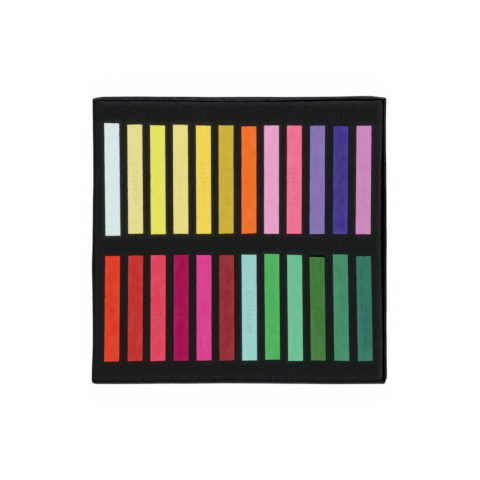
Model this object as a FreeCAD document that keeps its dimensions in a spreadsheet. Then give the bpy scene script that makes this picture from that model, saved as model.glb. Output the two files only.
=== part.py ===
import FreeCAD, Part
import math
import os

import Sketcher

# A shallow open tray of square soft pastels.  A black paperboard tray, folded from one blank,
# holds a black foam insert of two layers.  The upper layer is die-cut with two rows of slots,
# and each slot holds one pastel stick, which lies on the plain layer below.
#
# The frame: the origin is the middle of the tray's underside, +X runs along the rows to the
# right, +Y to the back row and +Z up, out of the tray.  All sizes are in millimetres.

# Each size: its alias in the sheet, its value and what it measures.
SIZES = (
    ("stick_width", 9.0, "a stick's square section, across the tray"),
    ("stick_height", 9.0, "a stick's square section, upright"),
    ("stick_edge", 0.45, "rounding of a stick's edges"),
    ("stick_proud", 0.8, "a stick's top above the foam"),
    ("side_clearance", 0.12, "gap between a stick's side and its slot"),
    ("end_clearance", 0.15, "gap between a stick's front end and its slot, and the least behind it"),
    ("rib_width", 4.5, "foam between two neighbouring slots"),
    ("front_slot_length", 63.4, "least slot of the front row"),
    ("back_slot_length", 65.0, "least slot of the back row"),
    ("row_gap", 12.7, "foam between the two rows"),
    ("left_margin", 5.25, "foam outside the first slots"),
    ("right_margin", 5.85, "foam outside the last slots"),
    ("front_margin", 11.3, "foam before the front row"),
    ("back_margin", 14.6, "foam behind the back row"),
    ("back_first_turn", 0.62, "degrees that the back row's first stick is turned"),
    ("back_last_turn", -0.47, "degrees that the back row's last stick is turned"),
    ("front_first_turn", -0.45, "degrees that the front row's first stick is turned"),
    ("front_last_turn", 0.98, "degrees that the front row's last stick is turned"),
    ("foam_corner", 1.0, "rounding of the foam's upright corners"),
    ("backing_thickness", 3.0, "plain foam layer under the slotted one"),
    ("left_gap", 0.65, "room between the foam and the left wall"),
    ("right_gap", 1.5, "room between the foam and the right wall"),
    ("wall_gap", 0.45, "room between the foam and a rolled wall"),
    ("board", 0.6, "thickness of the paperboard"),
    ("layer_gap", 0.15, "air between two layers of board"),
    ("rim_rise", 1.2, "a rolled wall's top above the foam"),
    ("rim_radius", 0.5, "rounding of the folds along a rolled wall's top"),
    ("side_drop", 0.5, "a side wall's top below a rolled wall's"),
    ("tab_drop", 0.2, "a corner tab's top below a side wall's"),
    ("tab_length", 32.0, "a corner tab, from the side wall's inner face"),
    ("front_flap_inset", 1.6, "the end of the front rolled flap, from the tray's side"),
    ("back_flap_inset", 6.8, "the end of the back rolled flap, from the tray's side"),
    ("tray_corner", 1.0, "rounding of the tray's upright corners"),
    ("crease_radius", 0.4, "rounding of the creases round the base"),
)

# The sticks of each row from left to right: name, length, and how far its slot lies to the
# right and to the back of even spacing, because the foam is soft.
FRONT_STICKS = (
    ("vermilion", 63.4, -0.1, -0.6),
    ("red", 63.4, 0.1, -0.3),
    ("coral_red", 63.6, 0.0, -0.2),
    ("crimson", 63.6, 0.1, 0.0),
    ("magenta", 63.3, 0.1, 0.0),
    ("maroon", 63.4, 0.0, 0.0),
    ("mint", 63.5, -0.2, 0.1),
    ("leaf_green", 63.5, -0.2, 0.6),
    ("sea_green", 63.7, -0.2, -0.1),
    ("moss_green", 62.2, -0.4, -0.2),
    ("viridian", 64.0, -0.1, 0.1),
    ("teal", 63.1, 0.2, -0.5),
)
BACK_STICKS = (
    ("ice_blue", 67.6, 0.0, 0.1),
    ("cream_yellow", 65.6, 0.0, 0.3),
    ("lemon_yellow", 65.4, -0.1, -0.1),
    ("pale_yellow", 65.5, -0.2, 0.2),
    ("golden_yellow", 65.0, -0.2, 0.0),
    ("ochre", 65.0, -0.4, 0.1),
    ("orange", 64.4, -0.4, 0.0),
    ("pale_pink", 65.1, -0.6, 0.0),
    ("rose_pink", 65.1, -0.7, 0.0),
    ("lavender", 65.1, -0.6, -0.1),
    ("violet", 65.0, -0.4, -0.3),
    ("orchid", 65.1, -0.3, -0.2),
)
COLUMNS = len(FRONT_STICKS)

# Places and sizes that follow from the sheet.
SLOT_WIDTH = "(Sizes.stick_width + 2 * Sizes.side_clearance)"
PITCH = f"({SLOT_WIDTH} + Sizes.rib_width)"
FOAM_DEPTH = "(Sizes.stick_height - Sizes.stick_proud)"
FOAM_LENGTH = (
    f"(Sizes.left_margin + {COLUMNS - 1} * {PITCH} + {SLOT_WIDTH} + Sizes.right_margin)"
)
BACK_ROW_START = "(Sizes.front_margin + Sizes.front_slot_length + Sizes.row_gap)"
FOAM_WIDTH = f"({BACK_ROW_START} + Sizes.back_slot_length + Sizes.back_margin)"
SIDE_WALL = "(2 * Sizes.board + Sizes.layer_gap)"
ROLLED_WALL = "(3 * Sizes.board + 2 * Sizes.layer_gap)"
TRAY_LENGTH = f"({FOAM_LENGTH} + Sizes.left_gap + Sizes.right_gap + 2 * {SIDE_WALL})"
TRAY_WIDTH = f"({FOAM_WIDTH} + 2 * Sizes.wall_gap + 2 * {ROLLED_WALL})"
SLOT_FLOOR = "(Sizes.board + Sizes.backing_thickness)"
RIM_HEIGHT = f"({SLOT_FLOOR} + {FOAM_DEPTH} + Sizes.rim_rise)"
SIDE_HEIGHT = f"({RIM_HEIGHT} - Sizes.side_drop)"
FOAM_LEFT = f"(-{TRAY_LENGTH} / 2 + {SIDE_WALL} + Sizes.left_gap)"
FOAM_FRONT = f"(-{TRAY_WIDTH} / 2 + {ROLLED_WALL} + Sizes.wall_gap)"

NEAR = 1e-4  # two lengths closer than this are the same

doc = FreeCAD.newDocument("PastelTray")
sheet = doc.addObject("Spreadsheet::Sheet", "Sizes")


def fill_sheet():
    own_sizes = []
    for name, length, right, back in FRONT_STICKS + BACK_STICKS:
        own_sizes.append((f"length_{name}", length, f"the {name.replace('_', ' ')} stick"))
        own_sizes.append((f"right_{name}", right, "its slot, to the right of even spacing"))
        own_sizes.append((f"back_{name}", back, "its slot, to the back of even spacing"))
    for row, (alias, size, meaning) in enumerate([*SIZES, *own_sizes], start=1):
        sheet.set(f"A{row}", meaning)
        sheet.set(f"B{row}", str(size))
        sheet.setAlias(f"B{row}", alias)
    doc.recompute()


def value(expression):
    return float(sheet.evalExpression(expression))


def bind(thing, settings):
    for name, expression in settings.items():
        thing.setExpression(name, expression)


def new_body(label):
    body = doc.addObject("PartDesign::Body", label)
    body.Label = label
    return body


def place(body, x, y, z):
    bind(body, {".Placement.Base.x": x, ".Placement.Base.y": y, ".Placement.Base.z": z})


def new_sketch(body, name, height="0"):
    """A sketch parallel to the body's XY plane, at the given height."""
    sketch = body.newObject("Sketcher::SketchObject", name)
    ground = next(f for f in body.Origin.OriginFeatures if f.Role == "XY_Plane")
    sketch.AttachmentSupport = [(ground, "")]
    sketch.MapMode = "FlatFace"
    bind(sketch, {".AttachmentOffset.Base.z": height})
    return sketch


def dimension(sketch, kind, line, expression):
    """A horizontal or vertical distance from the sketch's origin to the line's start."""
    index = sketch.addConstraint(Sketcher.Constraint(kind, -1, 1, line, 1, value(expression)))
    bind(sketch, {f"Constraints[{index}]": expression})


def draw_rectangle(sketch, low_x, high_x, low_y, high_y):
    left, right, front, back = (value(side) for side in (low_x, high_x, low_y, high_y))
    corners = [
        FreeCAD.Vector(x, y, 0)
        for x, y in ((left, front), (right, front), (right, back), (left, back))
    ]
    lines = sketch.addGeometry(
        [Part.LineSegment(corners[i], corners[(i + 1) % 4]) for i in range(4)], False
    )
    for i, line in enumerate(lines):
        sketch.addConstraint(Sketcher.Constraint("Coincident", line, 2, lines[(i + 1) % 4], 1))
        sketch.addConstraint(Sketcher.Constraint(("Horizontal", "Vertical")[i % 2], line))
    dimension(sketch, "DistanceX", lines[0], low_x)
    dimension(sketch, "DistanceY", lines[0], low_y)
    dimension(sketch, "DistanceX", lines[2], high_x)
    dimension(sketch, "DistanceY", lines[2], high_y)


def draw_rounded_rectangle(sketch, low_x, high_x, low_y, high_y, corner):
    left, right, front, back, bend = (
        value(side) for side in (low_x, high_x, low_y, high_y, corner)
    )
    sides = (
        ((left + bend, front), (right - bend, front)),
        ((right, front + bend), (right, back - bend)),
        ((right - bend, back), (left + bend, back)),
        ((left, back - bend), (left, front + bend)),
    )
    middles = (
        (right - bend, front + bend),
        (right - bend, back - bend),
        (left + bend, back - bend),
        (left + bend, front + bend),
    )
    lines = sketch.addGeometry(
        [
            Part.LineSegment(FreeCAD.Vector(*start, 0), FreeCAD.Vector(*end, 0))
            for start, end in sides
        ],
        False,
    )
    quarter = math.pi / 2
    up = FreeCAD.Vector(0, 0, 1)
    arcs = sketch.addGeometry(
        [
            Part.ArcOfCircle(
                Part.Circle(FreeCAD.Vector(*middle, 0), up, bend),
                (i - 1) * quarter,
                i * quarter,
            )
            for i, middle in enumerate(middles)
        ],
        False,
    )
    for i in range(4):
        after = lines[(i + 1) % 4]
        sketch.addConstraint(Sketcher.Constraint("Tangent", lines[i], 2, arcs[i], 1))
        sketch.addConstraint(Sketcher.Constraint("Tangent", arcs[i], 2, after, 1))
        sketch.addConstraint(Sketcher.Constraint(("Horizontal", "Vertical")[i % 2], lines[i]))
    for arc in arcs[1:]:
        sketch.addConstraint(Sketcher.Constraint("Equal", arcs[0], arc))
    radius = sketch.addConstraint(Sketcher.Constraint("Radius", arcs[0], bend))
    bind(sketch, {f"Constraints[{radius}]": corner})
    dimension(sketch, "DistanceY", lines[0], low_y)
    dimension(sketch, "DistanceX", lines[1], high_x)
    dimension(sketch, "DistanceY", lines[2], high_y)
    dimension(sketch, "DistanceX", lines[3], low_x)


def pad(body, sketch, height):
    feature = body.newObject("PartDesign::Pad", f"{sketch.Name}Pad")
    feature.Profile = sketch
    bind(feature, {"Length": height})
    sketch.Visibility = False
    doc.recompute()
    return feature


def pocket_up(body, sketch, height):
    """Cuts the sketch's outlines upwards into the body, and makes sure that it cuts."""
    before = body.Shape.Volume
    feature = body.newObject("PartDesign::Pocket", f"{sketch.Name}Pocket")
    feature.Profile = sketch
    feature.Reversed = True
    bind(feature, {"Length": height})
    sketch.Visibility = False
    doc.recompute()
    if body.Shape.Volume > before - NEAR:
        raise RuntimeError(f"{feature.Name} cuts nothing")
    return feature


def fillet(body, name, radius, chosen):
    """Rounds the edges of the body for which chosen(edge) is true."""
    base = body.Tip
    names = [
        f"Edge{number}" for number, edge in enumerate(base.Shape.Edges, start=1) if chosen(edge)
    ]
    feature = body.newObject("PartDesign::Fillet", name)
    feature.Base = (base, names)
    bind(feature, {"Radius": radius})
    doc.recompute()
    return feature


def lies_at(edge, height):
    box = edge.BoundBox
    return abs(box.ZMin - height) < NEAR and abs(box.ZMax - height) < NEAR


def make_tray():
    """The folded blank: a base, two doubled side walls, two rolled walls and four corner tabs.

    Each rolled wall has an outer layer, an air space of one board's thickness with the tabs in
    it, and an inner layer that is the end of the flap, which is rolled over the top."""
    body = new_body("tray")
    half_length = f"{TRAY_LENGTH} / 2"
    half_width = f"{TRAY_WIDTH} / 2"

    shell = new_sketch(body, "Shell")
    draw_rounded_rectangle(
        shell,
        f"-{half_length}",
        half_length,
        f"-{half_width}",
        half_width,
        "Sizes.tray_corner",
    )
    pad(body, shell, SIDE_HEIGHT)

    inside_x = f"({half_length} - {SIDE_WALL})"
    inside_y = f"({half_width} - Sizes.board)"
    inside = new_sketch(body, "Inside", "Sizes.board")
    draw_rectangle(inside, f"-{inside_x}", inside_x, f"-{inside_y}", inside_y)
    pocket_up(body, inside, SIDE_HEIGHT)

    front_end = f"({half_length} - Sizes.front_flap_inset)"
    back_end = f"({half_length} - Sizes.back_flap_inset)"
    roll_inner = f"({half_width} - {ROLLED_WALL})"
    rolls = new_sketch(body, "Rolls")
    draw_rectangle(rolls, f"-{front_end}", front_end, f"-{half_width}", f"-{roll_inner}")
    draw_rectangle(rolls, f"-{back_end}", back_end, roll_inner, half_width)
    pad(body, rolls, RIM_HEIGHT)

    space_inner = f"({roll_inner} + Sizes.board)"
    spaces = new_sketch(body, "AirSpaces", "Sizes.board")
    draw_rectangle(spaces, f"-{front_end}", front_end, f"-{inside_y}", f"-{space_inner}")
    draw_rectangle(spaces, f"-{back_end}", back_end, space_inner, inside_y)
    pocket_up(body, spaces, f"{RIM_HEIGHT} - 2 * Sizes.board")

    tab_inner = f"({space_inner} + Sizes.layer_gap)"
    tab_outer = f"({inside_y} - Sizes.layer_gap)"
    tab_end = f"({inside_x} - Sizes.tab_length)"
    tabs = new_sketch(body, "CornerTabs")
    for low_x, high_x in ((f"-{inside_x}", f"-{tab_end}"), (tab_end, inside_x)):
        draw_rectangle(tabs, low_x, high_x, tab_inner, tab_outer)
        draw_rectangle(tabs, low_x, high_x, f"-{tab_outer}", f"-{tab_inner}")
    pad(body, tabs, f"{SIDE_HEIGHT} - Sizes.tab_drop")

    fillet(
        body,
        "RolledFolds",
        "min(Sizes.rim_radius; Sizes.board)",
        lambda edge: lies_at(edge, value(RIM_HEIGHT)) and edge.BoundBox.YLength < NEAR,
    )
    fillet(
        body,
        "BaseCreases",
        "min(Sizes.crease_radius; Sizes.board)",
        lambda edge: lies_at(edge, 0),
    )


def slot_length(name, row):
    """A slot is as long as its stick needs, and a row's slots have a least length."""
    return f"max(Sizes.{row}_slot_length; Sizes.length_{name} + 2 * Sizes.end_clearance)"


def slot_middle(name, column, row):
    """The middle of a stick's slot, from the foam's front left corner."""
    row_start = {"front": "Sizes.front_margin", "back": BACK_ROW_START}[row]
    return (
        f"(Sizes.left_margin + {column} * {PITCH} + {SLOT_WIDTH} / 2 + Sizes.right_{name})",
        f"({row_start} + Sizes.{row}_slot_length / 2 + Sizes.back_{name})",
    )


def slot_turn(column, row):
    """A row's sticks lie a little fanned: the turn changes evenly from the first to the last.

    A positive turn moves a stick's back end to the left."""
    first, last = f"Sizes.{row}_first_turn", f"Sizes.{row}_last_turn"
    return f"({first} + ({last} - {first}) * {column} / {COLUMNS - 1})"


def each_stick():
    for row, sticks in (("front", FRONT_STICKS), ("back", BACK_STICKS)):
        for column, (name, *_) in enumerate(sticks):
            yield row, column, name


def make_foam_backing():
    body = new_body("foam_backing")
    place(body, FOAM_LEFT, FOAM_FRONT, "Sizes.board")
    sheet_outline = new_sketch(body, "BackingSheet")
    draw_rounded_rectangle(sheet_outline, "0", FOAM_LENGTH, "0", FOAM_WIDTH, "Sizes.foam_corner")
    pad(body, sheet_outline, "Sizes.backing_thickness")


def make_foam_slotted():
    """The die-cut layer.  A slot's corners follow those of the stick at the side clearance."""
    body = new_body("foam_slotted")
    place(body, FOAM_LEFT, FOAM_FRONT, SLOT_FLOOR)
    block = new_sketch(body, "FoamBlock")
    draw_rounded_rectangle(block, "0", FOAM_LENGTH, "0", FOAM_WIDTH, "Sizes.foam_corner")
    pad(body, block, FOAM_DEPTH)
    for row, column, name in each_stick():
        x, y = slot_middle(name, column, row)
        half_width = f"{SLOT_WIDTH} / 2"
        half_length = f"{slot_length(name, row)} / 2"
        slot = new_sketch(body, f"Slot_{name}")
        bind(
            slot,
            {
                ".AttachmentOffset.Base.x": x,
                ".AttachmentOffset.Base.y": y,
                ".AttachmentOffset.Rotation.Angle": slot_turn(column, row),
            },
        )
        draw_rounded_rectangle(
            slot,
            f"-{half_width}",
            half_width,
            f"-{half_length}",
            half_length,
            "(Sizes.stick_edge + Sizes.side_clearance)",
        )
        pocket_up(body, slot, FOAM_DEPTH)


def make_stick(row, column, name):
    """A moulded bar with worn edges, lying on the backing by the front end of its own slot."""
    body = new_body(f"stick_{name}")
    x, y = slot_middle(name, column, row)
    turn = slot_turn(column, row)
    forward = f"(({slot_length(name, row)} - Sizes.length_{name}) / 2 - Sizes.end_clearance)"
    place(
        body,
        f"{FOAM_LEFT} + {x} + {forward} * sin({turn} * 1deg)",
        f"{FOAM_FRONT} + {y} - {forward} * cos({turn} * 1deg)",
        SLOT_FLOOR,
    )
    bind(body, {".Placement.Rotation.Angle": turn})
    half_width = "Sizes.stick_width / 2"
    half_length = f"Sizes.length_{name} / 2"
    outline = new_sketch(body, f"Outline_{name}")
    draw_rectangle(outline, f"-{half_width}", half_width, f"-{half_length}", half_length)
    pad(body, outline, "Sizes.stick_height")
    fillet(body, f"Edges_{name}", "Sizes.stick_edge", lambda edge: True)


def check_document():
    """Stops at any object that failed, and at a sub-part that isn't one valid solid."""
    for item in doc.Objects:
        if {"Invalid", "Error"} & set(item.State):
            raise RuntimeError(f"{item.Name} failed: {item.State}")
    for body in bodies():
        shape = body.Shape
        if shape.isNull() or not shape.isValid() or len(shape.Solids) != 1:
            raise RuntimeError(f"{body.Label} isn't one valid solid")


def bodies():
    return [item for item in doc.Objects if item.TypeId == "PartDesign::Body"]


fill_sheet()
make_tray()
make_foam_backing()
make_foam_slotted()
for place_in_row in each_stick():
    make_stick(*place_in_row)
doc.recompute()
check_document()

os.makedirs("parts", exist_ok=True)
for body in bodies():
    body.Shape.exportStep(f"parts/{body.Label}.step")
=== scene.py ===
import math

import bpy
import numpy as np
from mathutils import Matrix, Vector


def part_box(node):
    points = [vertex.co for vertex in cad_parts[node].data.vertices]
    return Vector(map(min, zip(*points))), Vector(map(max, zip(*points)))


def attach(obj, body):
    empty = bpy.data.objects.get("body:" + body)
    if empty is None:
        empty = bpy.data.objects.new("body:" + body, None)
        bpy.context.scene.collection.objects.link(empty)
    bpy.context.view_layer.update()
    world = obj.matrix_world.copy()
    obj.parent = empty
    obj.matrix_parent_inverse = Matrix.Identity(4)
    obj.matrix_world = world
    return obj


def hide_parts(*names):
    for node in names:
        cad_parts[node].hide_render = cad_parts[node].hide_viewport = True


# A shallow open tray of twenty-four square soft pastels, put together in this file as it is on
# the bench: the folded tray, the two layers of its foam insert, and the sticks in their slots.
# Lengths are in millimetres: +X runs along the rows to the right, +Y to the back and +Z up.

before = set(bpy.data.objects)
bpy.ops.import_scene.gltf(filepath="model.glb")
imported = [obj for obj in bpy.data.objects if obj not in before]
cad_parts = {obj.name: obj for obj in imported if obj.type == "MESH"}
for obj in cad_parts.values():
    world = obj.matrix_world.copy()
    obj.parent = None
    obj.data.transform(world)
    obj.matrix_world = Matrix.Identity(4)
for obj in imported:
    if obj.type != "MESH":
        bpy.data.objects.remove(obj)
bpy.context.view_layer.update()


# ---------------------------------------------------------------------------------------------
# The tray.  One blank of black card is creased and folded: the side walls are folded double,
# and the front and back flaps are rolled over the side walls' corner tabs, which lock them.
# ---------------------------------------------------------------------------------------------
BOARD = 0.6
LAYER_GAP = 0.15
ROLLED_WALL = 3 * BOARD + 2 * LAYER_GAP
CREASE = 0.4  # radius of a crease, along the middle of the card
TOP_FOLD = (BOARD + LAYER_GAP) / 2  # the same where a side wall is folded flat on itself
FOLD_SPREAD = 0.55  # how far the paleness of a fold, rubbing and painted highlight, reaches along the card
FLAP_INSETS = {"front": 1.6, "back": 6.8}
SIDE_DROP = 0.5
TAB_DROP = 0.2
TAB_LENGTH = 32.0
INNER_RISE = 0.1  # how far above the base the inner layers end
TAB_RISE = 0.05  # the same for the corner tabs
SIDE_FOOT = 0.7  # how far a side wall's sheet runs in under the tray, to meet the base
BASE_INSET = BOARD / 2 + SIDE_FOOT
SIDE_EASE = 0.03  # room between a side wall and the outer layers of the rolled walls
TAB_EASE = 0.02
RIM_WAVE = 0.1
RIM_WAVELENGTH = 24
LEAN_BAND = (8, 5)  # how far inside the outline leaning begins, and over what it grows
BULGE_BAND = (4, 1.8)  # the same for bulging
CORNER_ROUND = {(-1, -1): 2.3, (-1, 1): 2.4, (1, 1): 1.6, (1, -1): 0.8}
BACK_ENDS = {-1: (81.0, 6.0, 0.65), 1: (77.0, 12.0, 0.85)}  # where, over what and how far they draw in
CRUSHED = ((88.75, -82.6), (87.4, -85.5))  # ends of the knocked-in face at the front right
CRUSH_DEPTH = 0.8

# Nothing is quite straight.  At these shares of a side's half length, how far the rim of each
# wall leans out, how far the inner layer of a rolled wall bulges into the tray, and how far
# each edge of the foam stands out.
PLACES = (-0.95, -0.72, -0.4, -0.2, 0, 0.2, 0.4, 0.72, 0.87, 0.98)
BLEND = 0.14  # how far a value reaches to either side of its place
LEANS = {
    "left": (0.75, 0.05, 0.15, 0.65, 0.15, -0.05, -0.35, -0.3, 0.1, 0.1),
    "right": (0.5, 0.35, 0.3, 0.4, 0.45, 0.35, 0.25, -0.15, 0.0, 0.0),
    "front": (0.35, 0.3, 0.05, 0.0, -0.1, 0.05, 0.25, 0.35, 0.3, 0.2),
    "back": (0.2, 0.25, 0.2, 0.15, 0.1, 0.1, 0.1, 0.2, 1.1, 0.1),
}
BULGES = {
    "front": (-0.35, -0.35, -0.25, -0.15, -0.1, -0.1, -0.2, -0.3, -0.3, -0.25),
    "back": (0.0, 0.0, 0.1, 0.45, 0.5, 0.3, -0.35, -0.6, -0.5, -0.2),
}
FOAM_EDGES = {
    "left": (1.25, 0.55, 0.65, 1.0, 0.7, 0.4, 0.15, 0.2, 0.6, 0.6),
    "right": (0.55, 0.6, 0.2, -0.3, -0.6, -0.5, -0.25, 0.25, 0.5, 1.0),
    "front": (1.15, 1.15, 0.85, 0.75, 0.6, 0.75, 0.95, 1.15, 1.1, 0.9),
    "back": (0.15, 0.2, -0.1, -0.4, -0.4, -0.35, -0.15, 0.25, 0.3, 0.1),
}
# How pale the folds of each rim are: partly the card's black rubbed off, partly a painted highlight where a
# fold catches the lamps, most on the front's outer fold and the back.
RIM_RUB_AND_HIGHLIGHT = {
    "left": (0.15, 0.2, 0.15, 0.0, 0.1, 0.3, 0.3, 0.15, 0.2, 0.2),
    "right": (0.3, 0.35, 0.35, 0.3, 0.0, 0.0, 0.1, 0.5, 0.6, 0.4),
    "front": (1.9, 2.0, 1.75, 1.6, 1.7, 2.0, 2.2, 1.75, 1.6, 1.5),
    "back": (1.0, 0.9, 1.0, 1.1, 1.1, 1.1, 1.1, 0.9, 0.8, 1.1),
}

CARD_BLACK = (13, 13, 17)
# Rubbed folds, and the painted highlight on the folds, take this paler colour.
CARD_RUBBED_AND_HIGHLIT = (60, 61, 71)
CARD_FIBRE = (27, 26, 30)
CARD_CORE = (66, 72, 72)  # the grey inside of the card, where it is cut
SHARP_ANGLE = 42  # degrees between faces from which an edge is drawn sharp


def extent(node):
    """A node's lowest and highest corners, in millimetres."""
    return [np.array(corner) * 1000 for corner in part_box(node)]


HALF_LENGTH, HALF_WIDTH, RIM = extent("tray")[1]


def waves(spots, length, seed, count=20):
    """Smooth unevenness, mostly within -1 to 1.

    The sum of cosine waves, each with a heading and phase of its own and a wavelength near the
    given one, over the square root of twice their number."""
    rng = np.random.default_rng(seed)
    heading = rng.normal(size=(count, 3))
    heading /= np.linalg.norm(heading, axis=1, keepdims=True)
    pace = 2 * np.pi / (length * rng.uniform(0.6, 1.7, count))
    phase = rng.uniform(0, 2 * np.pi, count)
    return np.cos(spots @ (heading * pace[:, None]).T + phase).sum(-1) / math.sqrt(2 * count)


def smooth(value):
    """0 below 0, 1 above 1 and a smooth step between: 3 t squared less 2 t cubed."""
    t = np.clip(value, 0, 1)
    return t * t * (3 - 2 * t)


def near(place, half, band):
    """1 close to the outline, which is at plus and minus half, and 0 further in than the band."""
    start, growth = band
    return smooth((abs(place) - half + start) / growth)


def folded_strip(corners, bends, gap=1.5):
    """A strip of card seen edge on: its points, and how much of a fold each one is.

    Straight runs join the corners, and an arc of its bend's radius rounds each inner corner.
    The fold falls off from the middle of an arc as a bell curve of the distance to it."""
    corners = np.array(corners, float)
    ways = np.diff(corners, axis=0)
    ways /= np.linalg.norm(ways, axis=1, keepdims=True)
    pieces, arc_middles = [], []
    start = corners[0]
    for corner, way, onward, bend in zip(corners[1:], ways, ways[1:], bends):
        turn = math.atan2(way[0] * onward[1] - way[1] * onward[0], way @ onward)
        left = math.copysign(1, turn) * np.array([-way[1], way[0]])
        arc_start = corner - way * bend * math.tan(abs(turn) / 2)
        runs = max(1, round(np.linalg.norm(arc_start - start) / gap))
        angle = np.linspace(0, abs(turn), 7)[:, None]
        arc = arc_start + left * bend * (1 - np.cos(angle)) + way * bend * np.sin(angle)
        pieces += [np.linspace(start, arc_start, runs, endpoint=False), arc[:-1]]
        arc_middles.append(arc[len(arc) // 2])
        start = arc[-1]
    runs = max(1, round(np.linalg.norm(corners[-1] - start) / gap))
    pieces.append(np.linspace(start, corners[-1], runs + 1))
    strip = np.concatenate(pieces)
    away = np.linalg.norm(strip[:, None] - np.array(arc_middles), axis=2).min(1)
    return strip, np.exp(-((away / FOLD_SPREAD) ** 2))


def grid_quads(rows, columns):
    """The quads of a grid of points that are numbered row by row."""
    corner = np.arange(rows - 1)[:, None] * columns + np.arange(columns - 1)
    return np.stack([corner, corner + 1, corner + columns + 1, corner + columns], -1).reshape(-1, 4)


def card_sheet(middle, thickness=BOARD):
    """A sheet of card from the grid of its mid-surface: its points, its quads, and 1 for each
    quad that is on a cut edge.

    The grid is moved half the thickness along its normals to either side, the normal being
    the cross product of the two grid directions, and quads round the border close it."""
    rows, columns = middle.shape[:2]
    normal = np.cross(np.gradient(middle, axis=1), np.gradient(middle, axis=0))
    normal *= thickness / 2 / np.linalg.norm(normal, axis=2, keepdims=True)
    points = np.concatenate([(middle + normal).reshape(-1, 3), (middle - normal).reshape(-1, 3)])
    face = grid_quads(rows, columns)
    number = np.arange(rows * columns).reshape(rows, columns)
    border = np.concatenate([number[0, :-1], number[:-1, -1], number[-1, :0:-1], number[:0:-1, 0]])
    ahead = np.roll(border, -1)
    under = rows * columns
    edge = np.stack([ahead, border, border + under, ahead + under], -1)
    cut = np.repeat([0.0, 1.0], [2 * len(face), len(edge)])
    return points, np.concatenate([face, face[:, ::-1] + under, edge]), cut


def joined(parts):
    """Several sheets as one: the points, the quads, the quads' marks and the points' marks."""
    points, quads, cuts, folds = zip(*parts)
    offsets = np.cumsum([0] + [len(group) for group in points])
    quads = [group + offset for group, offset in zip(quads, offsets)]
    return [np.concatenate(groups) for groups in (points, quads, cuts, folds)]


def along_side(values, share):
    """What a side's values come to at each share of its half length: their mean, weighed by
    bell curves of the distance to their places."""
    weight = np.exp(-(((share[..., None] - np.array(PLACES)) / BLEND) ** 2)) + 1e-9
    return weight @ np.array(values) / weight.sum(-1)


def handled(points):
    """The tray after some use, from a square one.

    The rolled walls bulge inwards: their layers keep their shares of a thickness that varies.
    The walls lean out in proportion to their height, and their tops wave.  Each upright corner
    is rounded: within its radius, a square round the corner's centre becomes a circle.  Last,
    one corner is squeezed against a slanting face: the way past a line inside that face is
    shortened to its hyperbolic tangent."""
    x, y, z = points.T.copy()
    across, along = x / HALF_LENGTH, y / HALF_WIDTH
    bulge = np.where(y > 0, along_side(BULGES["back"], across), along_side(BULGES["front"], across))
    depth = np.minimum((HALF_WIDTH - abs(y)) / ROLLED_WALL, 1)
    in_wall = near(y, HALF_WIDTH, BULGE_BAND) * smooth(z / 4 - 0.3)
    y -= np.sign(y) * bulge * depth * in_wall
    rise = np.clip(z / RIM, 0, 1)
    near_side = near(x, HALF_LENGTH, LEAN_BAND) * rise
    near_end = near(y, HALF_WIDTH, LEAN_BAND) * rise
    wave = RIM_WAVE * waves(points, RIM_WAVELENGTH, seed=5)
    x_lean = np.where(x > 0, along_side(LEANS["right"], along), -along_side(LEANS["left"], along))
    y_lean = np.where(y > 0, along_side(LEANS["back"], across), -along_side(LEANS["front"], across))
    x += near_side * (x_lean + wave)
    y += near_end * (y_lean + wave)
    z += np.maximum(near_side, near_end) * wave
    for side, (start, span, draw) in BACK_ENDS.items():
        y -= draw * smooth((side * x - start) / span) * near_end * (y > 0)

    for (side, end), radius in CORNER_ROUND.items():
        corner = np.stack([side * x - HALF_LENGTH + radius, end * y - HALF_WIDTH + radius])
        inside = (corner > 0).all(0)
        pull = np.where(inside, corner.max(0) / np.maximum(np.hypot(*corner), 1e-9), 1)
        x += side * corner[0] * (pull - 1)
        y += end * corner[1] * (pull - 1)

    (x0, y0), (x1, y1) = CRUSHED
    out = np.array([y0 - y1, x1 - x0]) / math.hypot(x1 - x0, y1 - y0)
    beyond = np.maximum((x - x0) * out[0] + (y - y0) * out[1] + CRUSH_DEPTH, 0)
    squeeze = (beyond - CRUSH_DEPTH * np.tanh(beyond / CRUSH_DEPTH)) * smooth(z / 7 + 0.35)
    return np.stack([x - out[0] * squeeze, y - out[1] * squeeze, z], -1)


def stations(reach, fine=4.0):
    """Places along a wall from -1 to 1, close together by both corners."""
    inner = reach - fine
    middle = np.linspace(-inner, inner, 90)
    end = np.linspace(inner, reach, 14)[1:]
    return np.concatenate([-end[::-1], middle, end]) / reach


def on_both_faces(marks):
    """The marks of a grid's points, for all points of both faces of the sheet that it makes."""
    return np.tile(marks.ravel(), 2)


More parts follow.
